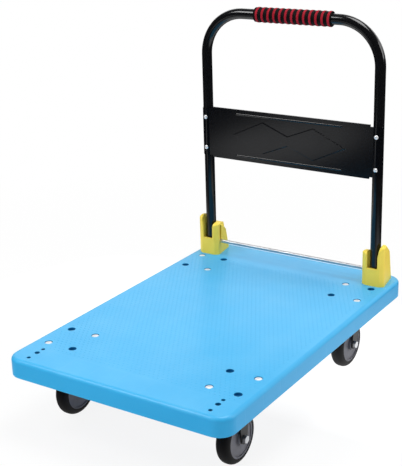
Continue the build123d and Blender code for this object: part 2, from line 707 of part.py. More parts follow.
def socket_mouth():
    """Opening above the front wall, with a flare above it that parts the cheeks right to the rear."""
    bend = deck_top + MOUTH_STRAIGHT_TOP
    high = deck_top + OUTER_CHEEK_TOP + OVERCUT
    wide = socket_half + SOCKET_FLARE
    front = housing_front - OVERCUT
    rear = housing_rear + OVERCUT
    outline = [(-socket_half, bend), (socket_half, bend), (wide, high), (-wide, high)]
    face = make_face(Polyline(*outline, close=True))
    flare = Pos(post_x, rear, 0) * extrude(Plane.XZ * face, rear - front)
    low = deck_top + FRONT_WALL_TOP
    return flare + block(cheek_parting, post_x + socket_half, front, socket_rear, low, bend)


def lead_in_cut():
    """Relief on the inside of the front wall, where the tube tips forward as it lifts out."""
    rise = (FRONT_WALL_TOP - ROD_HEIGHT) / LEAD_IN_FACETS
    heights = [rise * i for i in range(LEAD_IN_FACETS + 1)]
    face_line = [(post_y - lead_in_offset(h) - LEAD_IN_PLAY, rod_z + h) for h in heights]
    points = face_line + [(post_y, deck_top + FRONT_WALL_TOP), (post_y, rod_z)]
    return profile_across(points, post_x - socket_half, post_x + socket_half)


def rod_slot(x0, x1):
    """Upright slot that guides the rod."""
    width = rod_radius + ROD_SLOT_PLAY
    slot = bar_across(width, x0, x1, post_y, rod_z) + bar_across(width, x0, x1, post_y, rod_z + LIFT)
    return slot + block(x0, x1, post_y - width, post_y + width, rod_z, rod_z + LIFT)


def rear_core():
    """Core pocket that opens to the rear."""
    half = HOUSING_REAR_WIDTH / 2 - CORE_WALL
    low = deck_top + TUBE_END_HEIGHT
    rear = housing_rear + OVERCUT
    return block(post_x - half, post_x + half, socket_rear + CORE_WALL, rear, low, low + CORE_HEIGHT)


def make_housing_screws():
    """Pan head screws up through the deck into the housings."""
    low = plate_top - SCREW_HEAD_HEIGHT
    tip = deck_top + SCREW_BITE - OVERCUT
    head = post_up(SCREW_HEAD_DIAMETER / 2, 0, 0, low, plate_top)
    head = fillet(head.edges().sort_by(Axis.Z)[0], SCREW_HEAD_HEIGHT / 2)
    screw = head + post_up(SCREW_DIAMETER / 2, 0, 0, plate_top, tip)
    return [Pos(side * row_x, y, 0) * screw for side in (-1, 1) for y in row_screw_y]


# Assembly

def caster_nodes(rear):
    """Pieces of one right-hand caster about its bolt pattern's centre, by name."""
    axle_y = -CASTER_TRAIL if rear else 0.0
    if rear:
        pieces = {"swivel_plate": make_swivel_plate(), "king_pin": make_king_pin(),
                  "race_balls": make_race_balls(), "fork": make_fork()}
    else:
        pieces = {"horn": make_horn()}
    pieces["axle_bolt"] = make_axle_bolt(axle_y)
    pieces["axle_nut"] = make_axle_nut(axle_y)
    pieces["axle_sleeve"] = make_axle_sleeve(axle_y)
    pieces["wheel_core"] = make_wheel_core(axle_y)
    pieces["tyre"] = make_tyre(axle_y)
    return pieces


def place_piece(piece, left, place):
    """Puts a caster's piece, or its group of solids, on one side of the cart."""
    solids = piece if isinstance(piece, list) else [piece]
    if left:
        solids = [other_side(solid) for solid in solids]
    return [place * solid for solid in solids]


def make_nodes():
    """Every piece of the cart by its node name."""
    nodes = {"deck": make_deck(), "caster_bolts": make_caster_bolts(), "caster_nuts": make_caster_nuts()}
    housing = make_housing()
    nodes["hinge_housing_right"] = housing
    nodes["hinge_housing_left"] = other_side(housing)
    nodes["housing_screws"] = make_housing_screws()
    nodes["hinge_rod"] = make_hinge_rod()
    nodes["handle_tube"] = make_handle_tube()
    nodes["guard_panel"] = make_guard_panel()
    nodes["panel_rivets"] = make_panel_rivets()
    nodes["foam_grip"] = make_foam_grip()
    for end, y, rear in (("front", front_caster_y, False), ("rear", rear_caster_y, True)):
        pieces = caster_nodes(rear)
        for hand, side in (("left", -1), ("right", 1)):
            place = Pos(side * caster_x, y, 0)
            for name, piece in pieces.items():
                nodes[f"{end}_{hand}_{name}"] = place_piece(piece, side < 0, place)
    return nodes


def write_nodes():
    """Writes each node as one STEP file."""
    os.makedirs("parts", exist_ok=True)
    for name, piece in make_nodes().items():
        shape = Compound(children=piece) if isinstance(piece, list) and len(piece) > 1 else piece
        if isinstance(shape, list):
            shape = shape[0]
        export_step(shape, f"parts/{name}.step")


write_nodes()
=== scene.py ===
"""Dressed folding platform cart: its finishes, pips, caster bolts, foam grip, studio and camera."""
import logging
import math
from abc import ABC, abstractmethod
from dataclasses import dataclass
from enum import Enum
from typing import Any, Union

import bpy
import numpy as np
from mathutils import Matrix, Vector


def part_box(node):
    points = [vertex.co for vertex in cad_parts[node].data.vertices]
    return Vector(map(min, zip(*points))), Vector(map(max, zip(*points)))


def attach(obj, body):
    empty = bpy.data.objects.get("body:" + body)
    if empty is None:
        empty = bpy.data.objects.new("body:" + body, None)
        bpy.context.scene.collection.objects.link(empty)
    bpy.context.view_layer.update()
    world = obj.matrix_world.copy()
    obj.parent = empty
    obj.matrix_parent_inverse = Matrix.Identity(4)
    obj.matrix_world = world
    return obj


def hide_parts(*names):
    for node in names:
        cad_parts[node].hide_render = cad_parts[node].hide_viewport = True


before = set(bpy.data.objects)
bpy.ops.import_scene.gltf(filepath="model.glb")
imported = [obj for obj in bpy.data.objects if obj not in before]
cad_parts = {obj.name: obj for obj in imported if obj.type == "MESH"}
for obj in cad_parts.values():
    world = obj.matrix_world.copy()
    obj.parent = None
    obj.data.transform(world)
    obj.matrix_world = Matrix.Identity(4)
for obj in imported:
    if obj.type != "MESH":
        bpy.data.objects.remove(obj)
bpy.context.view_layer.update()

log = logging.getLogger("cart")
logging.basicConfig(level=logging.INFO, format="%(name)s: %(message)s")

Colour = tuple[float, float, float, float]
SocketKey = str | int
Value = Union["Wire", float, tuple]


def srgb(red: int, green: int, blue: int) -> Colour:
    """Turns an 8-bit display colour into linear light.

    Args:
        red: Red, 0 to 255.
        green: Green, 0 to 255.
        blue: Blue, 0 to 255.

    Returns:
        The linear colour with full alpha.
    """
    share = np.array([red, green, blue]) / 255.0
    linear = np.where(share <= 0.04045, share / 12.92, ((share + 0.055) / 1.055) ** 2.4)
    return (*(float(c) for c in linear), 1.0)


# Shader graphs

class Wire:
    """A shader socket that takes part in Python arithmetic: each operator adds one Math node."""

    def __init__(self, graph: "Graph", socket: bpy.types.NodeSocket | None) -> None:
        """Wraps an output socket of a graph, or none for a node that only takes values in."""
        self.graph = graph
        self.socket = socket

    def __add__(self, other: Value) -> "Wire":
        """Sum of two values."""
        return self.graph.math("ADD", self, other)

    __radd__ = __add__

    def __sub__(self, other: Value) -> "Wire":
        """Difference of two values."""
        return self.graph.math("SUBTRACT", self, other)

    def __rsub__(self, other: Value) -> "Wire":
        """A number less this value."""
        return self.graph.math("SUBTRACT", other, self)

    def __mul__(self, other: Value) -> "Wire":
        """Product of two values."""
        return self.graph.math("MULTIPLY", self, other)

    def __mod__(self, other: Value) -> "Wire":
        """Floored remainder, never negative for a positive divisor."""
        return self.graph.math("FLOORED_MODULO", self, other)

    def __abs__(self) -> "Wire":
        """Size without sign."""
        return self.graph.math("ABSOLUTE", self)

    def most(self, other: Value) -> "Wire":
        """The larger of two values."""
        return self.graph.math("MAXIMUM", self, other)

    def hypot(self, other: "Wire") -> "Wire":
        """Length of the long side over two values at a right angle."""
        return self.graph.math("SQRT", self * self + other * other)

    def rise(self, low: float, high: float) -> "Wire":
        """Smooth step from 0 at low to 1 at high; low above high makes it fall.

        Args:
            low: Value where the step starts.
            high: Value where the step ends.

        Returns:
            The step, from 0 to 1.
        """
        return self.graph.add("ShaderNodeMapRange", {"interpolation_type": "SMOOTHSTEP"},
                              {"Value": self, "From Min": low, "From Max": high})


@dataclass(frozen=True)
class Patches:
    """Cloudy patches: noise of so many features per metre, stepped from 0 at low to 1 at high."""

    scale: float
    detail: float
    low: float
    high: float
    stretch: tuple[float, float, float] = (1.0, 1.0, 1.0)
    turn: float = 0.0


class Graph:
    """Node tree of one material or world, built from expressions."""

    def __init__(self, owner: bpy.types.Material | bpy.types.World) -> None:
        """Starts with an empty node tree.

        Args:
            owner: Material or world that the nodes belong to.
        """
        self.owner = owner
        self.owner.use_nodes = True
        self.tree = self.owner.node_tree
        self.tree.nodes.clear()

    @classmethod
    def material(cls, name: str) -> "Graph":
        """Starts a new material of that name."""
        return cls(bpy.data.materials.new(name))

    def add(self, kind: str, settings: dict[str, Any] | None = None,
            inputs: dict[SocketKey, Value] | None = None, output: SocketKey = 0) -> Wire:
        """Adds one node.

        Args:
            kind: Type of the node.
            settings: Properties that are set first.
            inputs: Values or wires for its sockets, by name or number.
            output: Name or number of the socket to return.

        Returns:
            The chosen output socket.
        """
        node = self.tree.nodes.new(kind)
        for key, value in (settings or {}).items():
            setattr(node, key, value)
        for key, value in (inputs or {}).items():
            if isinstance(value, Wire):
                self.tree.links.new(value.socket, node.inputs[key])
            else:
                node.inputs[key].default_value = value
        return Wire(self, node.outputs[output] if node.outputs else None)

    def math(self, operation: str, first: Value, second: Value = 0.0) -> Wire:
        """Adds a Math node on two values."""
        return self.add("ShaderNodeMath", {"operation": operation}, {0: first, 1: second})

    def mix(self, share: Value, first: Value, second: Value) -> Wire:
        """Mixes two colours.

        Args:
            share: How much of the second colour, 0 to 1.
            first: Colour at share 0.
            second: Colour at share 1.

        Returns:
            The mixed colour.
        """
        return self.add("ShaderNodeMix", {"data_type": "RGBA"}, {0: share, 6: first, 7: second}, 2)

    def place(self) -> Wire:
        """Object coordinates: metres in the cart's own frame."""
        return self.add("ShaderNodeTexCoord", output="Object")

    def axes(self) -> tuple[Wire, Wire, Wire]:
        """The three object coordinates as single values."""
        node = self.add("ShaderNodeSeparateXYZ", inputs={0: self.place()}).socket.node
        return tuple(Wire(self, socket) for socket in node.outputs)

    def noise(self, scale: float, detail: float = 2.0, stretch: tuple[float, float, float] = (1, 1, 1),
              turn: float = 0.0) -> Wire:
        """Cloudy value about 0.5 on object coordinates.

        Args:
            scale: Features per metre.
            detail: Number of finer layers.
            stretch: Scale along each axis, for streaks.
            turn: Turn of the streaks about the vertical, in radians.

        Returns:
            The noise value.
        """
        where = self.add("ShaderNodeMapping", inputs={"Vector": self.place(), "Scale": stretch,
                                                      "Rotation": (0.0, 0.0, turn)})
        return self.add("ShaderNodeTexNoise", inputs={"Vector": where, "Scale": scale, "Detail": detail})

    def patches(self, spread: Patches) -> Wire:
        """Mask of cloudy patches, 1 inside a patch and 0 outside."""
        cloud = self.noise(spread.scale, spread.detail, spread.stretch, spread.turn)
        return cloud.rise(spread.low, spread.high)

    def cells(self, scale: float) -> Wire:
        """Distance to the nearest of many scattered points, for pores and pits."""
        return self.add("ShaderNodeTexVoronoi", inputs={"Vector": self.place(), "Scale": scale})

    def upward(self) -> Wire:
        """How far a surface faces up.

        Returns:
            1 on a level top, 0 on a wall or an underside.
        """
        normal = self.add("ShaderNodeNewGeometry", output="Normal")
        node = self.add("ShaderNodeSeparateXYZ", inputs={0: normal}).socket.node
        return Wire(self, node.outputs[2]).most(0.0)

    def bump(self, height: Value, depth: float, under: Wire | None = None) -> Wire:
        """Normal of a surface with fine relief.

        Args:
            height: Relief, 0 to 1.
            depth: Depth of the relief in metres.
            under: Normal of relief that lies below this one.

        Returns:
            The bumped normal.
        """
        inputs: dict[SocketKey, Value] = {"Height": height, "Distance": depth, "Strength": 1.0}
        if under is not None:
            inputs["Normal"] = under
        return self.add("ShaderNodeBump", inputs=inputs)

    def finish(self, **sockets: Value) -> bpy.types.Material:
        """Closes the graph with a Principled shader.

        Args:
            sockets: Its inputs, with underscores for spaces.

        Returns:
            The finished material.
        """
        shader = self.add("ShaderNodeBsdfPrincipled",
                          inputs={key.replace("_", " "): value for key, value in sockets.items()})
        self.add("ShaderNodeOutputMaterial", inputs={"Surface": shader})
        return self.owner


# Finishes

class Finish(ABC):
    """A surface finish that can make its material."""

    @abstractmethod
    def make(self) -> bpy.types.Material:
        """Builds the procedural material."""


@dataclass(frozen=True)
class HolePattern:
    """Places and sizes of the deck's recessed bolt holes and hole rows, for the painted shade inside them.
    """

    top: float
    caster_x: float
    caster_y: float
    caster_reach: float
    row_x: float
    row_y: tuple[float, ...] = (0.299, 0.3155, 0.339)
    bolt_half_x: float = 0.029
    bolt_half_y: float = 0.034
    recess_radius: float = 0.0082
    row_radius: float = 0.0057
    lip: float = 0.0004
    dim_depth: float = 0.0016
    depth: float = 0.0275

    def inside(self, x: Wire, y: Wire, z: Wire) -> Wire:
        """Share of a point that lies inside a hole.

        Args:
            x: Across the cart.
            y: Along the cart.
            z: Up.

        Returns:
            1 on the walls and floor of a hole, 0 elsewhere.
        """
        across = abs(abs(abs(x) - self.caster_x) - self.bolt_half_x)
        along = abs(abs(abs(y - self.caster_y) - self.caster_reach) - self.bolt_half_y)
        near = across.hypot(along).rise(self.recess_radius, self.recess_radius - self.lip)
        for place in self.row_y:
            hole = (abs(x) - self.row_x).hypot(abs(y) - place)
            near = near.most(hole.rise(self.row_radius, self.row_radius - self.lip))
        below = z.rise(self.top - self.lip, self.top - self.dim_depth)
        return near * below * z.rise(self.top - self.depth, self.top - self.depth + self.lip)


@dataclass(frozen=True)
class DeckPlastic(Finish):
    """Satin moulded plastic of the deck: grain, sink marks over the ribs, a scuffed top, and painted sheen
    that lightens every upward face.
    """

    holes: HolePattern
    colour: Colour = srgb(36, 170, 228)
    deep: Colour = srgb(26, 160, 220)
    # pale blue of the scuffs, also used for the painted sheen on the top
    scuff_and_sheen: Colour = srgb(112, 200, 242)
    # painted shade for the walls and floors of the holes
    shade: Colour = srgb(16, 104, 160)
    tone: Patches = Patches(5.0, 3.0, 0.3, 0.7)
    tone_share: float = 0.55
    streaks: Patches = Patches(3.0, 4.0, 0.62, 0.78, (2.0, 60.0, 1.0), 0.5)
    cross_streaks: Patches = Patches(3.0, 4.0, 0.64, 0.8, (55.0, 2.5, 1.0), -0.35)
    trodden: Patches = Patches(9.0, 1.0, 0.35, 0.7)
    scuff_share: float = 0.22
    scuff_dull: float = 0.18
    # painted sheen: upward faces are lightened in cloudy patches, standing in for gloss on the top
    top_sheen: Patches = Patches(11.0, 5.0, 0.3, 0.8)
    top_sheen_least: float = 0.22
    top_sheen_spread: float = 0.18
    rib_step_x: float = 0.059
    rib_step_y: float = 0.05933
    rib_half: float = 0.004
    sink_depth: float = 0.00006
    sink_gloss: float = 0.03
    grain_scale: float = 900.0
    grain_depth: float = 0.00009
    grain_dull: float = 0.10
    roughness: float = 0.34

    def over_ribs(self, across: Wire, step: float) -> Wire:
        """1 over the middle of each rib of a row at even steps, 0 beside it."""
        return abs((across + step / 2) % step - step / 2).rise(self.rib_half, 0.0)

    def make(self) -> bpy.types.Material:
        """Builds the procedural material.

        Returns:
            The finished material.
        """
        g = Graph.material("deck_plastic")
        x, y, z = g.axes()
        base = g.mix(g.patches(self.tone) * self.tone_share, self.colour, self.deep)
        streaks = g.patches(self.streaks) + g.patches(self.cross_streaks)
        scuffs = streaks * g.upward() * g.patches(self.trodden)
        # painted sheen: every upward face is mixed towards the pale blue, more in cloudy patches
        top_sheen = g.patches(self.top_sheen) * self.top_sheen_spread + self.top_sheen_least
        base = g.mix(scuffs * self.scuff_share + g.upward() * top_sheen, base, self.scuff_and_sheen)
        # painted shade inside the recessed holes
        base = g.mix(self.holes.inside(x, y, z), base, self.shade)
        sunk = self.over_ribs(x, self.rib_step_x).most(self.over_ribs(y, self.rib_step_y))
        grain = g.noise(self.grain_scale)
        normal = g.bump(grain, self.grain_depth, g.bump(1.0 - sunk, self.sink_depth))
        dull = grain * self.grain_dull + scuffs * self.scuff_dull
        roughness = self.roughness + dull - sunk * self.sink_gloss
        return g.finish(Base_Color=base, Roughness=roughness, Normal=normal, IOR=1.49)


@dataclass(frozen=True)
class HousingPlastic(Finish):
    """Satin yellow nylon of the hinge housings, with mould grain and rubbed patches."""

    colour: Colour = srgb(255, 228, 88)
    deep: Colour = srgb(246, 214, 68)
    tone: Patches = Patches(22.0, 3.0, 0.3, 0.7)
    tone_share: float = 0.5
    rubbed: Patches = Patches(60.0, 4.0, 0.58, 0.8)
    rub_dull: float = 0.1
    grain_scale: float = 1100.0
    grain_depth: float = 0.00008
    grain_dull: float = 0.12
    roughness: float = 0.36

    def make(self) -> bpy.types.Material:
        """Builds the procedural material.

        Returns:
            The finished material.
        """
        g = Graph.material("housing_plastic")
        base = g.mix(g.patches(self.tone) * self.tone_share, self.colour, self.deep)
        grain = g.noise(self.grain_scale)
        roughness = self.roughness + grain * self.grain_dull + g.patches(self.rubbed) * self.rub_dull
        normal = g.bump(grain, self.grain_depth)
        return g.finish(Base_Color=base, Roughness=roughness, Normal=normal, IOR=1.53)


@dataclass(frozen=True)
class GlossPaint(Finish):
    """Gloss powder coat on tube or sheet: orange peel, faint dust on top and rubbed streaks."""

    name: str
    colour: Colour
    dust: Colour = srgb(120, 120, 124)
    peel_scale: float = 320.0
    peel_detail: float = 1.5
    peel_depth: float = 0.00003
    film: Patches = Patches(14.0, 4.0, 0.45, 0.85)
    film_dull: float = 0.05
    dust_share: float = 0.03
    rubs: Patches = Patches(5.0, 3.0, 0.66, 0.8, (60.0, 60.0, 1.5))
    rub_dull: float = 0.06
    rub_share: float = 0.5
    roughness: float = 0.16
    coat: float = 0.3
    coat_loss: float = 1.5

    def make(self) -> bpy.types.Material:
        """Builds the procedural material.

        Returns:
            The finished material.
        """
        g = Graph.material(self.name)
        peel = g.noise(self.peel_scale, self.peel_detail)
        film = g.patches(self.film)
        dust = film * g.upward() * self.dust_share
        rubs = g.patches(self.rubs) * self.rub_dull
        base = g.mix(dust + rubs * self.rub_share, self.colour, self.dust)
        return g.finish(Base_Color=base, Roughness=self.roughness + film * self.film_dull + rubs + dust,
                        Normal=g.bump(peel, self.peel_depth), Coat_Weight=self.coat - rubs * self.coat_loss,
                        Coat_Roughness=0.08, IOR=1.5, Specular_IOR_Level=0.36)


@dataclass(frozen=True)
class SatinSheet(Finish):
    """Satin black coating on the casters' pressed sheet."""

    colour: Colour = srgb(18, 18, 20)
    worn: Colour = srgb(70, 68, 66)
    wear: Patches = Patches(75.0, 4.0, 0.64, 0.8)
    wear_share: float = 0.25
    wear_metal: float = 0.2
    grain_scale: float = 420.0
    grain_detail: float = 3.0
    grain_depth: float = 0.00008
    grain_dull: float = 0.14
    roughness: float = 0.38

    def make(self) -> bpy.types.Material:
        """Builds the procedural material.

        Returns:
            The finished material.
        """
        g = Graph.material("satin_sheet")
        grain = g.noise(self.grain_scale, self.grain_detail)
        wear = g.patches(self.wear)
        base = g.mix(wear * self.wear_share, self.colour, self.worn)
        return g.finish(Base_Color=base, Roughness=self.roughness + grain * self.grain_dull,
                        Normal=g.bump(grain, self.grain_depth), Metallic=wear * self.wear_metal)


@dataclass(frozen=True)
class PlatedMetal(Finish):
    """Bright plated or bare metal with a cloudy film and fine turning marks."""

    name: str
    colour: Colour
    cloud: Colour
    roughness: float
    metallic: float = 1.0
    film: Patches = Patches(60.0, 3.0, 0.3, 0.75)
    film_share: float = 0.6
    film_dull: float = 0.05
    mark_scale: float = 1600.0
    mark_detail: float = 2.0
    mark_stretch: tuple[float, float, float] = (0.4, 1.0, 1.0)
    mark_depth: float = 0.000004

    def make(self) -> bpy.types.Material:
        """Builds the procedural material.

        Returns:
            The finished material.
        """
        g = Graph.material(self.name)
        film = g.patches(self.film)
        marks = g.noise(self.mark_scale, self.mark_detail, self.mark_stretch)
        base = g.mix(film * self.film_share, self.colour, self.cloud)
        return g.finish(Base_Color=base, Metallic=self.metallic,
                        Roughness=self.roughness + film * self.film_dull,
                        Normal=g.bump(marks, self.mark_depth))


@dataclass(frozen=True)
class RingedFoam(Finish):
    """Closed-cell foam: red rings and black grooves along X, with fine pores."""

    first_ring: float
    pitch: float
    ring_width: float
    red: Colour = srgb(150, 18, 36)
    faded: Colour = srgb(174, 42, 60)
    black: Colour = srgb(13, 8, 9)
    edge: float = 0.0006
    pore_scale: float = 1500.0
    pore_depth: float = 0.0002
    pore_edge: tuple[float, float] = (0.18, 0.02)
    pore_share: float = 0.35
    rub: Patches = Patches(120.0, 3.0, 0.4, 0.8)
    rub_share: float = 0.5
    rub_dull: float = 0.16
    roughness: float = 0.62

    def make(self) -> bpy.types.Material:
        """Builds the procedural material.

        Returns:
            The finished material.
        """
        g = Graph.material("ringed_foam")
        x, _, _ = g.axes()
        along = (x - self.first_ring) % self.pitch
        ring = along.rise(0.0, self.edge) * along.rise(self.ring_width, self.ring_width - self.edge)
        ring = ring * (x - self.first_ring).rise(-self.edge, 0.0)
        pores = g.cells(self.pore_scale)
        rub = g.patches(self.rub)
        red = g.mix(rub * self.rub_share, self.red, self.faded)
        base = g.mix(ring, self.black, red)
        base = g.mix(pores.rise(*self.pore_edge) * self.pore_share, base, self.black)
        return g.finish(Base_Color=base, Roughness=self.roughness + rub * self.rub_dull,
                        Normal=g.bump(pores, self.pore_depth), Sheen_Weight=0.02, Sheen_Roughness=0.5,
                        Specular_IOR_Level=0.12)


@dataclass(frozen=True)
class TyreRubber(Finish):
    """Black moulded rubber with a parting line round the tread and a film of floor dust."""

    track: float
    colour: Colour = srgb(11, 11, 13)
    dust: Colour = srgb(70, 68, 66)
    line_half: float = 0.0007
    dusty: Patches = Patches(40.0, 4.0, 0.42, 0.8)
    dust_height: float = 0.07
    dust_share: float = 0.35
    dust_dull: float = 0.2
    grain_scale: float = 800.0
    grain_detail: float = 3.0
    grain_share: float = 0.25
    grain_dull: float = 0.15
    relief: float = 0.00035
    roughness: float = 0.55

    def make(self) -> bpy.types.Material:
        """Builds the procedural material.

        Returns:
            The finished material.
        """
        g = Graph.material("wheel_rubber")
        x, _, z = g.axes()
        grain = g.noise(self.grain_scale, self.grain_detail)
        line = abs(abs(x) - self.track).rise(self.line_half, 0.0)
        dust = g.patches(self.dusty) * z.rise(self.dust_height, 0.0)
        base = g.mix(dust * self.dust_share, self.colour, self.dust)
        roughness = self.roughness + grain * self.grain_dull + dust * self.dust_dull
        return g.finish(Base_Color=base, Roughness=roughness,
                        Normal=g.bump(grain * self.grain_share + line, self.relief), Specular_IOR_Level=0.28)


@dataclass(frozen=True)
class HubPlastic(Finish):
    """Grey moulded plastic of the wheel cores, with flow marks from the gate."""

    colour: Colour = srgb(112, 112, 120)
    deep: Colour = srgb(92, 92, 100)
    flow: Patches = Patches(45.0, 4.0, 0.3, 0.75)
    flow_share: float = 0.6
    grain_scale: float = 1000.0
    grain_depth: float = 0.00006
    grain_dull: float = 0.12
    roughness: float = 0.44

    def make(self) -> bpy.types.Material:
        """Builds the procedural material.

        Returns:
            The finished material.
        """
        g = Graph.material("hub_plastic")
        grain = g.noise(self.grain_scale)
        base = g.mix(g.patches(self.flow) * self.flow_share, self.colour, self.deep)
        return g.finish(Base_Color=base, Roughness=self.roughness + grain * self.grain_dull,
                        Normal=g.bump(grain, self.grain_depth))


# Surfaces

def quads(rows: int, columns: int, wrap_rows: bool, wrap_columns: bool) -> np.ndarray:
    """Corner numbers of the quads of a grid of points.

    Args:
        rows: Number of rows of points.
        columns: Number of points in a row.
        wrap_rows: Joins the last row to the first.
        wrap_columns: Joins each row's end to its start.

    Returns:
        An array of four corner numbers for each quad.
    """
    down = np.arange(rows if wrap_rows else rows - 1)[:, None]
    over = np.arange(columns if wrap_columns else columns - 1)[None, :]
    next_down = (down + 1) % rows
    next_over = (over + 1) % columns
    corners = [down * columns + over, down * columns + next_over,
               next_down * columns + next_over, next_down * columns + over]
    return np.stack([np.broadcast_to(c, np.broadcast_shapes(down.shape, over.shape)) for c in corners],
                    axis=-1).reshape(-1, 4)


def fan(ring: np.ndarray, pole: int) -> np.ndarray:
    """Triangles from a ring of points to one point, facing up for a ring that turns to the left."""
    return np.column_stack([ring, np.roll(ring, -1), np.full(len(ring), pole)])


def halves(corners: np.ndarray) -> np.ndarray:
    """Cuts each quad into two triangles."""
    return np.vstack([corners[:, [0, 1, 2]], corners[:, [0, 2, 3]]])


def repeated(points: np.ndarray, faces: np.ndarray, places: np.ndarray) -> tuple[np.ndarray, np.ndarray]:
    """Copies of one shape.

    Args:
        points: Points of the shape about its own middle.
        faces: Its faces' corner numbers.
        places: Where each copy's middle goes, one row each.

    Returns:
        The points and faces of all the copies.
    """
    every_point = (points[None, :, :] + places[:, None, :]).reshape(-1, 3)
    every_face = faces[None, :, :] + len(points) * np.arange(len(places))[:, None, None]
    return every_point, every_face.reshape(-1, faces.shape[1])


def mesh_piece(name: str, points: np.ndarray, faces: np.ndarray) -> bpy.types.Object:
    """Makes a smooth mesh object at the origin.

    Args:
        name: Name of the piece.
        points: Its points in metres, one row each.
        faces: Corner numbers, one row for each face.

    Returns:
        The new object, linked to the scene.
    """
    mesh = bpy.data.meshes.new(name)
    sides = faces.shape[1]
    mesh.vertices.add(len(points))
    mesh.vertices.foreach_set("co", points.astype(np.float32).ravel())
    mesh.loops.add(faces.size)
    mesh.loops.foreach_set("vertex_index", faces.astype(np.int32).ravel())
    mesh.polygons.add(len(faces))
    mesh.polygons.foreach_set("loop_start", np.arange(0, faces.size, sides, dtype=np.int32))
    mesh.polygons.foreach_set("use_smooth", np.ones(len(faces), dtype=bool))
    mesh.update(calc_edges=True)
    mesh.validate()
    piece = bpy.data.objects.new(name, mesh)
    bpy.context.scene.collection.objects.link(piece)
    return piece


def dress(names: list[str], material: bpy.types.Material) -> None:
    """Gives CAD nodes a material.

    Args:
        names: The nodes.
        material: What they are dressed in.
    """
    for name in names:
        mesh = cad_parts[name].data
        mesh.materials.clear()
        mesh.materials.append(material)
        log.info("dressed %s in %s", name, material.name)


class Side(Enum):
    """The two sides of the cart."""

    LEFT = "left"
    RIGHT = "right"


class End(Enum):
    """The two ends of the cart."""

    FRONT = "front"
    REAR = "rear"


# Sub-assemblies

@dataclass
class Deck:
    """Deck with its fasteners, and the anti-slip pips that stand on its top."""

    pip_pitch: float = 0.0098
    pip_radius: float = 0.0023
    pip_height: float = 0.00045
    pip_sink: float = 0.0002
    pip_sides: int = 8
    pip_rings: int = 3
    field_half_width: float = 0.221
    field_front: float = -0.288
    field_rear: float = 0.270
    hole_clear: float = 0.0118
    screw_head_radius: float = 0.006

    def __post_init__(self) -> None:
        """Takes the hole pattern's place from the casters and the housings' screws."""
        self.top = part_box("deck")[1].z
        front_low, front_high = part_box("front_right_horn")
        rear_low, rear_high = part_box("rear_right_swivel_plate")
        front = (front_low.y + front_high.y) / 2
        rear = (rear_low.y + rear_high.y) / 2
        row_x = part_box("housing_screws")[1].x - self.screw_head_radius
        self.holes = HolePattern(top=self.top, caster_x=(front_low.x + front_high.x) / 2,
                                 caster_y=(front + rear) / 2, caster_reach=(rear - front) / 2, row_x=row_x)

    def hole_places(self) -> np.ndarray:
        """Places of the caster holes in the field of pips.

        Returns:
            One (x, y) row for each hole.
        """
        holes = self.holes
        side, end, over, down = (axis.ravel() for axis in np.meshgrid(*[(-1, 1)] * 4))
        x = side * holes.caster_x + over * holes.bolt_half_x
        y = holes.caster_y + end * holes.caster_reach + down * holes.bolt_half_y
        return np.column_stack([x, y])

    def pip_places(self) -> np.ndarray:
        """Rows of pips over the deck's top, clear of the holes.

        Rows shift a quarter of the pitch to left and right in turn, so the pips form even triangles.

        Returns:
            One (x, y) row for each pip.
        """
        row_step = self.pip_pitch * math.sqrt(3) / 2
        rows = int((self.field_rear - self.field_front) / row_step)
        across = int(2 * self.field_half_width / self.pip_pitch)
        row, column = np.meshgrid(np.arange(rows + 1), np.arange(across), indexing="ij")
        stagger = (row % 2) / 2 - 1 / 4
        x = (column - (across - 1) / 2 + stagger) * self.pip_pitch
        y = self.field_front + row * row_step
        places = np.stack([x, y], axis=-1).reshape(-1, 2)
        gaps = np.linalg.norm(places[:, None, :] - self.hole_places()[None, :, :], axis=-1)
        return places[gaps.min(axis=1) > self.hole_clear]

    def build(self) -> bpy.types.Object:
        """Low round pips: each is a cap whose height falls as the square of the distance from its middle.

        Returns:
            One mesh of all the pips.
        """
        out = np.linspace(1.0, 0.0, self.pip_rings + 1)[:-1]
        turn = np.arange(self.pip_sides) * (2 * math.pi / self.pip_sides)
        ring_x = np.outer(out, np.cos(turn)) * self.pip_radius
        ring_y = np.outer(out, np.sin(turn)) * self.pip_radius
        ring_z = np.repeat((1 - out**2) * self.pip_height, self.pip_sides).reshape(ring_x.shape)
        cap = np.stack([ring_x, ring_y, ring_z], axis=-1).reshape(-1, 3)
        cap = np.vstack([cap, [0.0, 0.0, self.pip_height]])
        cap[:self.pip_sides, 2] -= self.pip_sink
        inner = (self.pip_rings - 1) * self.pip_sides + np.arange(self.pip_sides)
        walls = halves(quads(self.pip_rings, self.pip_sides, False, True))
        faces = np.vstack([walls, fan(inner, len(cap) - 1)])
        places = self.pip_places()
        level = np.column_stack([places, np.full(len(places), self.top)])
        return mesh_piece("deck_pips", *repeated(cap, faces, level))

    def dress(self, zinc: bpy.types.Material) -> None:
        """Builds the pips and dresses the deck, its hidden fasteners and the hinge rod.

        Args:
            zinc: Finish of the fasteners and the rod.
        """
        plastic = DeckPlastic(self.holes).make()
        pips = self.build()
        pips.data.materials.append(plastic)
        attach(pips, "deck")
        log.info("built %s with %d faces", pips.name, len(pips.data.polygons))
        dress(["deck"], plastic)
        dress(["caster_nuts", "housing_screws", "hinge_rod"], zinc)


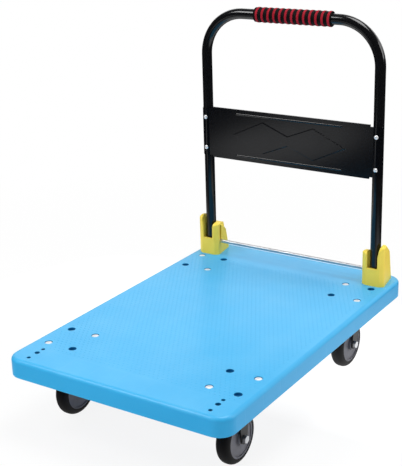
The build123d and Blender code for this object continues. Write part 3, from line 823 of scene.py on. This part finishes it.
@dataclass
class CasterBolts:
    """Bolts that hold the casters: crowned heads with a hexagon socket, level with the deck's top."""

    holes: HolePattern
    head_radius: float = 0.00725
    head_rim: float = 0.0038
    head_crown: float = 0.0059
    seat_depth: float = 0.0055
    socket_flats: float = 0.005
    socket_edge: float = 0.0034
    socket_depth: float = 0.0012
    shank_radius: float = 0.004
    chamfer: float = 0.0006
    crown_steps: int = 6
    sides: int = 36
    crease: float = math.radians(35)

    def places(self) -> np.ndarray:
        """Two holes on a diagonal of each caster's pattern; the rear casters have the other diagonal.

        Returns:
            One (x, y, 0) row for each bolt.
        """
        holes = self.holes
        side, end, turn = (axis.ravel() for axis in np.meshgrid((-1, 1), (-1, 1), (-1, 1)))
        x = side * holes.caster_x + turn * holes.bolt_half_x
        y = holes.caster_y + end * (holes.caster_reach - turn * holes.bolt_half_y)
        return np.column_stack([x, y, np.zeros(len(x))])

    def section(self) -> np.ndarray:
        """Half section from the shank's end over the head into the socket.

        The crown's height falls as the square of the radius. The last two points are the socket's wall.

        Returns:
            (radius, height) rows.
        """
        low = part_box("caster_bolts")[0].z
        seat = self.holes.top - self.seat_depth
        radius = np.linspace(self.head_radius - self.chamfer, self.socket_edge, self.crown_steps)
        fall = (self.head_crown - self.head_rim) * (radius / self.head_radius) ** 2
        crown = np.column_stack([radius, seat + self.head_crown - fall])
        shank = [(self.shank_radius - self.chamfer, low), (self.shank_radius, low + self.chamfer),
                 (self.shank_radius, seat), (self.head_radius, seat),
                 (self.head_radius, seat + self.head_rim - self.chamfer)]
        floor = crown[-1, 1] - self.socket_depth
        socket = [(self.socket_flats / 2, crown[-1, 1]), (self.socket_flats / 2, floor)]
        return np.vstack([shank, crown, socket])

    def build(self) -> bpy.types.Object:
        """Turns the half section about the vertical; the socket's radius follows a hexagon.

        Returns:
            One mesh of all the bolts.
        """
        section = self.section()
        turn = np.arange(self.sides) * (2 * math.pi / self.sides)
        hexagon = 1 / np.cos(np.mod(turn, math.pi / 3) - math.pi / 6)
        socket_points = 2
        in_socket = np.arange(len(section)) >= len(section) - socket_points
        radius = section[:, 0, None] * np.where(in_socket[:, None], hexagon[None, :], 1.0)
        height = np.broadcast_to(section[:, 1, None], radius.shape)
        rings = np.stack([radius * np.cos(turn), radius * np.sin(turn), height], axis=-1).reshape(-1, 3)
        bolt = np.vstack([rings, [0.0, 0.0, section[0, 1]], [0.0, 0.0, section[-1, 1]]])
        first = np.arange(self.sides)
        last = first + (len(section) - 1) * self.sides
        faces = np.vstack([halves(quads(len(section), self.sides, False, True)),
                           fan(first[::-1], len(rings)), fan(last, len(rings) + 1)])
        piece = mesh_piece("caster_bolt_set", *repeated(bolt, faces, self.places()))
        piece.data.set_sharp_from_angle(angle=self.crease)
        return piece

    def dress(self, bright: bpy.types.Material) -> None:
        """Builds the bolts in their bright finish, in place of the plain ones.

        Args:
            bright: Finish of the bolts.
        """
        bolts = self.build()
        bolts.data.materials.append(bright)
        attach(bolts, "deck")
        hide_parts("caster_bolts")
        log.info("built %s with %d faces", bolts.name, len(bolts.data.polygons))


@dataclass
class Handle:
    """Handle tube, guard panel and the foam grip with its raised rings."""

    ring_count: int = 13
    gap_width: float = 0.0079
    collar: float = 0.005
    groove_depth: float = 0.0008
    groove_sag: float = 0.0002
    steps_ring: int = 10
    steps_gap: int = 4
    steps_bore: int = 13
    steps_round: int = 56
    roundness: float = 3.0

    def __post_init__(self) -> None:
        """Takes the grip's place and size from the CAD sleeve."""
        low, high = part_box("foam_grip")
        self.grip_low = low.x
        self.grip_length = high.x - low.x
        self.grip_radius = (high.z - low.z) / 2
        self.axis_y = (low.y + high.y) / 2
        self.axis_z = (low.z + high.z) / 2
        tube_low, tube_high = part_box("handle_tube")
        self.bore = (tube_high.y - tube_low.y) / 2
        gaps = self.gap_width * (self.ring_count - 1)
        self.ring_width = (self.grip_length - self.collar - gaps) / self.ring_count
        self.pitch = self.ring_width + self.gap_width
        self.first_ring = self.grip_low + self.collar

    def grip_profile(self) -> np.ndarray:
        """Half section of the sleeve.

        Rings swell as superellipses over the grooves' radius, and grooves sag as half sine waves.

        Returns:
            (x, radius) points round the section, from the bore's left end over the rings and back.
        """
        groove = self.grip_radius - self.groove_depth
        share = np.linspace(-1.0, 1.0, self.steps_ring + 1)
        swell = (1 - np.abs(share) ** self.roundness) ** (1 / self.roundness)
        start = self.first_ring + self.pitch * np.arange(self.ring_count)
        ring_x = start[:, None] + (share[None, :] + 1) / 2 * self.ring_width
        ring_r = np.broadcast_to(groove + swell * self.groove_depth, ring_x.shape)
        gap = np.linspace(0.0, 1.0, self.steps_gap + 1)[1:-1]
        gap_x = start[:, None] + self.ring_width + gap[None, :] * self.gap_width
        gap_r = np.broadcast_to(groove - self.groove_sag * np.sin(gap * math.pi), gap_x.shape)
        outer_x = np.concatenate([ring_x, gap_x], axis=1).ravel()[:-(self.steps_gap - 1)]
        outer_r = np.concatenate([ring_r, gap_r], axis=1).ravel()[:-(self.steps_gap - 1)]
        left, right = self.grip_low, self.grip_low + self.grip_length
        soft = self.groove_depth
        bevel = soft / 3
        head = [(left, self.bore), (left, groove - soft), (left + bevel, groove - bevel),
                (left + soft, groove)]
        tail = [(right, groove - soft), (right, self.bore)]
        middle = np.linspace(right, left, self.steps_bore + 1)[1:-1]
        bore = np.column_stack([middle, np.full(len(middle), self.bore)])
        return np.vstack([head, np.column_stack([outer_x, outer_r]), tail, bore])

    def build(self) -> bpy.types.Object:
        """Turns the half section about the top bar's axis into a closed sleeve.

        Returns:
            The foam grip.
        """
        profile = self.grip_profile()
        turn = np.arange(self.steps_round) * (2 * math.pi / self.steps_round)
        x = np.broadcast_to(profile[:, 0, None], (len(profile), self.steps_round))
        y = self.axis_y + profile[:, 1, None] * np.cos(turn)[None, :]
        z = self.axis_z + profile[:, 1, None] * np.sin(turn)[None, :]
        points = np.stack([x, y, z], axis=-1).reshape(-1, 3)
        return mesh_piece("ringed_grip", points, quads(len(profile), self.steps_round, True, True))

    def dress(self, tube: bpy.types.Material, panel: bpy.types.Material, rivet: bpy.types.Material) -> None:
        """Builds the grip and dresses the handle's pieces.

        Args:
            tube: The tube's finish.
            panel: The guard panel's finish.
            rivet: The rivets' finish.
        """
        grip = self.build()
        grip.data.materials.append(RingedFoam(self.first_ring, self.pitch, self.ring_width).make())
        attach(grip, "handle")
        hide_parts("foam_grip")
        log.info("built %s with %d faces", grip.name, len(grip.data.polygons))
        dress(["handle_tube"], tube)
        dress(["guard_panel"], panel)
        dress(["panel_rivets"], rivet)


@dataclass
class Housings:
    """The two hinge housings."""

    def dress(self, plastic: bpy.types.Material) -> None:
        """Dresses both housings."""
        dress([f"hinge_housing_{side.value}" for side in Side], plastic)


@dataclass
class Casters:
    """Fixed front casters and swivel rear casters."""

    def dress(self, sheet: bpy.types.Material, zinc: bpy.types.Material, steel: bpy.types.Material) -> None:
        """Dresses every caster's pieces.

        Args:
            sheet: Finish of the pressed sheet.
            zinc: Finish of bolts and nuts.
            steel: Finish of the bearings' steel.
        """
        low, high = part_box("front_right_tyre")
        rubber = TyreRubber((low.x + high.x) / 2).make()
        hub = HubPlastic().make()
        for side in Side:
            dress([f"front_{side.value}_horn"], sheet)
            dress([f"rear_{side.value}_{part}" for part in ("fork", "swivel_plate")], sheet)
            dress([f"rear_{side.value}_king_pin"], zinc)
            dress([f"rear_{side.value}_race_balls"], steel)
            for end in End:
                stem = f"{end.value}_{side.value}"
                dress([f"{stem}_axle_bolt", f"{stem}_axle_nut"], zinc)
                dress([f"{stem}_axle_sleeve"], steel)
                dress([f"{stem}_wheel_core"], hub)
                dress([f"{stem}_tyre"], rubber)


# Studio

@dataclass(frozen=True)
class Softbox:
    """One soft area light; one that isn't mirrored lights the cart but shows in no reflection."""

    name: str
    place: tuple[float, float, float]
    aim: tuple[float, float, float]
    width: float
    height: float
    power: float
    mirrored: bool = True

    def build(self) -> bpy.types.Object:
        """Makes the light and points it at its aim.

        Returns:
            The light object.
        """
        lamp = bpy.data.lights.new(self.name, "AREA")
        lamp.shape = "RECTANGLE"
        lamp.size = self.width
        lamp.size_y = self.height
        lamp.energy = self.power
        light = bpy.data.objects.new(self.name, lamp)
        light.location = self.place
        light.visible_glossy = self.mirrored
        light.rotation_euler = (Vector(self.aim) - Vector(self.place)).to_track_quat("-Z", "Y").to_euler()
        bpy.context.scene.collection.objects.link(light)
        return light


@dataclass(frozen=True)
class Viewpoint:
    """Camera at the photograph's viewing angle."""

    place: tuple[float, float, float] = (1.05678, -1.64530, 1.01114)
    azimuth: float = 33.585
    elevation: float = 19.317
    roll: float = -1.716
    focal_pixels: float = 1072.391
    frame_height_pixels: float = 466.0
    sensor: float = 36.0

    def build(self) -> bpy.types.Object:
        """Makes the camera from its azimuth, elevation and roll.

        Returns:
            The camera object, set as the scene's camera.
        """
        around = math.radians(self.azimuth)
        above = math.radians(self.elevation)
        back = Vector((math.sin(around) * math.cos(above), -math.cos(around) * math.cos(above),
                       math.sin(above)))
        level = Vector((0.0, 0.0, 1.0)).cross(back).normalized()
        upright = back.cross(level)
        tip = math.radians(self.roll)
        right = level * math.cos(tip) + upright * math.sin(tip)
        up = upright * math.cos(tip) - level * math.sin(tip)
        lens = bpy.data.cameras.new("view")
        lens.sensor_width = self.sensor
        lens.lens = self.focal_pixels * self.sensor / self.frame_height_pixels
        camera = bpy.data.objects.new("view", lens)
        turn = Matrix((right, up, back)).transposed().to_4x4()
        camera.matrix_world = Matrix.Translation(self.place) @ turn
        bpy.context.scene.collection.objects.link(camera)
        bpy.context.scene.camera = camera
        return camera


@dataclass
class Studio:
    """Pale floor, soft lights, white surroundings and the camera.

    What mirrors see is a studio: a white sweep behind the cart, pale floor beside it, a faint light
    overhead, a pale card on the floor in front, and a dark room elsewhere. A pair of values says where
    a light starts to show and where it is full: in metres on the floor, and in parts of a direction for
    the sweep and the overhead light.
    """

    floor_half: float = 8.0
    floor_points: int = 5
    floor_matte: Colour = (0.92, 0.92, 0.92, 1.0)
    white: Colour = (1.0, 1.0, 1.0, 1.0)
    shadow_fade: tuple[float, float] = (0.6, 1.7)
    shadow_keep: float = 0.12
    ambient: float = 0.32
    room: float = 0.02
    sweep: float = 1.7
    sweep_back: tuple[float, float] = (0.2, 0.75)
    sweep_foot: tuple[float, float] = (0.0, 0.25)
    sweep_head: tuple[float, float] = (0.62, 0.46)
    overhead: float = 0.12
    overhead_up: tuple[float, float] = (0.45, 0.9)
    overhead_front: tuple[float, float] = (-0.35, 0.1)
    near_floor: float = 1.15
    near_front: tuple[float, float] = (-0.6, 0.1)
    near_back: tuple[float, float] = (0.9, 0.45)
    near_round: tuple[float, float] = (1.2, 0.7)
    card: float = 0.9
    card_place: tuple[float, float] = (-0.82, -1.22)
    card_reach: tuple[float, float] = (0.37, 0.62)
    card_plateau: float = 0.35

    def lights(self) -> list[Softbox]:
        """The studio's soft lights.

        Returns:
            The four lights, not built yet.
        """
        return [
            Softbox("top", place=(0.5, 0.3, 3.0), aim=(0.0, -0.1, 0.1), width=1.6, height=1.4, power=50.0),
            Softbox("key", place=(-1.5, -1.4, 2.5), aim=(0.0, 0.0, 0.3), width=1.0, height=1.0, power=28.0),
            Softbox("fill", place=(-0.6, -3.0, 1.4), aim=(0.0, 0.0, 0.3), width=2.0, height=1.4, power=24.0,
                    mirrored=False),
            Softbox("side", place=(2.6, 1.1, 1.5), aim=(0.0, 0.1, 0.3), width=1.0, height=1.4, power=21.0),
        ]

    @staticmethod
    def rays(graph: Graph) -> tuple[Wire, Wire]:
        """Kinds of ray.

        Args:
            graph: Graph to add the node to.

        Returns:
            1 for rays from the camera or through clear things, and 1 for mirror rays.
        """
        node = graph.add("ShaderNodeLightPath").socket.node
        camera, glossy, clear = (Wire(graph, node.outputs[name]) for name in
                                 ("Is Camera Ray", "Is Glossy Ray", "Is Transmission Ray"))
        return camera.most(clear), glossy

    def floor(self) -> bpy.types.Object:
        """Pale floor that keeps a light shadow near the cart and fades to white.

        Returns:
            The floor.
        """
        side = np.linspace(-self.floor_half, self.floor_half, self.floor_points)
        x, y = np.meshgrid(side, side)
        points = np.stack([x, y, np.zeros_like(x)], axis=-1).reshape(-1, 3)
        floor = mesh_piece("floor", points, quads(self.floor_points, self.floor_points, False, False))
        g = Graph.material("studio_floor")
        seen, glossy = self.rays(g)
        across, along, _ = g.axes()
        out = across.hypot(along)
        white = out.rise(*self.shadow_fade) * self.shadow_keep + (1.0 - self.shadow_keep)
        near = along.rise(*self.near_front) * along.rise(*self.near_back) * out.rise(*self.near_round)
        card_x, card_y = self.card_place
        reach_x, reach_y = self.card_reach
        from_card = ((across - card_x) * (1 / reach_x)).hypot((along - card_y) * (1 / reach_y))
        card = from_card.rise(1.0, self.card_plateau) * self.card
        level = seen.most((near * self.near_floor).most(card) + self.room)
        matte = g.add("ShaderNodeBsdfDiffuse", inputs={"Color": self.floor_matte})
        glow = g.add("ShaderNodeEmission", inputs={"Color": self.white, "Strength": level})
        shader = g.add("ShaderNodeMixShader", inputs={0: (seen * white).most(glossy), 1: matte, 2: glow})
        g.add("ShaderNodeOutputMaterial", inputs={"Surface": shader})
        floor.data.materials.append(g.owner)
        return floor

    def surroundings(self) -> None:
        """White world where it is seen, a studio in mirrors, and an even soft light elsewhere."""
        world = bpy.data.worlds.new("surroundings")
        g = Graph(world)
        seen, glossy = self.rays(g)
        way = g.add("ShaderNodeTexCoord", output="Generated")
        parts = g.add("ShaderNodeSeparateXYZ", inputs={0: way}).socket.node.outputs
        along, up = Wire(g, parts[1]), Wire(g, parts[2])
        behind = along.rise(*self.sweep_back) * up.rise(*self.sweep_foot) * up.rise(*self.sweep_head)
        above = up.rise(*self.overhead_up) * along.rise(*self.overhead_front)
        studio = (behind * self.sweep).most(above * self.overhead) + self.room
        strength = seen.most(glossy * studio + (1.0 - glossy) * (1.0 - seen) * self.ambient)
        sky = g.add("ShaderNodeBackground", inputs={"Color": self.white, "Strength": strength})
        g.add("ShaderNodeOutputWorld", inputs={"Surface": sky})
        bpy.context.scene.world = world

    def build(self) -> None:
        """Sets up the floor, lights, surroundings and camera."""
        self.floor()
        self.surroundings()
        for light in self.lights():
            light.build()
        Viewpoint().build()
        bpy.context.scene.view_settings.view_transform = "Standard"
        log.info("studio ready")


def main() -> None:
    """Builds and dresses the cart, then the studio."""
    zinc = PlatedMetal("zinc_plate", srgb(222, 224, 227), srgb(204, 207, 212), roughness=0.38).make()
    steel = PlatedMetal("race_steel", srgb(150, 150, 152), srgb(112, 108, 102), roughness=0.34).make()
    rivet = PlatedMetal("rivet_metal", srgb(246, 247, 248), srgb(228, 230, 233),
                        roughness=0.30, metallic=0.4).make()
    bright = PlatedMetal("bolt_plate", srgb(244, 245, 246), srgb(226, 229, 233),
                         roughness=0.42, metallic=0.35).make()
    tube = GlossPaint("tube_paint", srgb(13, 13, 15)).make()
    panel = GlossPaint("panel_paint", srgb(7, 8, 12)).make()
    deck = Deck()
    deck.dress(zinc)
    CasterBolts(deck.holes).dress(bright)
    Housings().dress(HousingPlastic().make())
    Handle().dress(tube, panel, rivet)
    Casters().dress(SatinSheet().make(), zinc, steel)
    Studio().build()


if __name__ == "__main__":
    main()
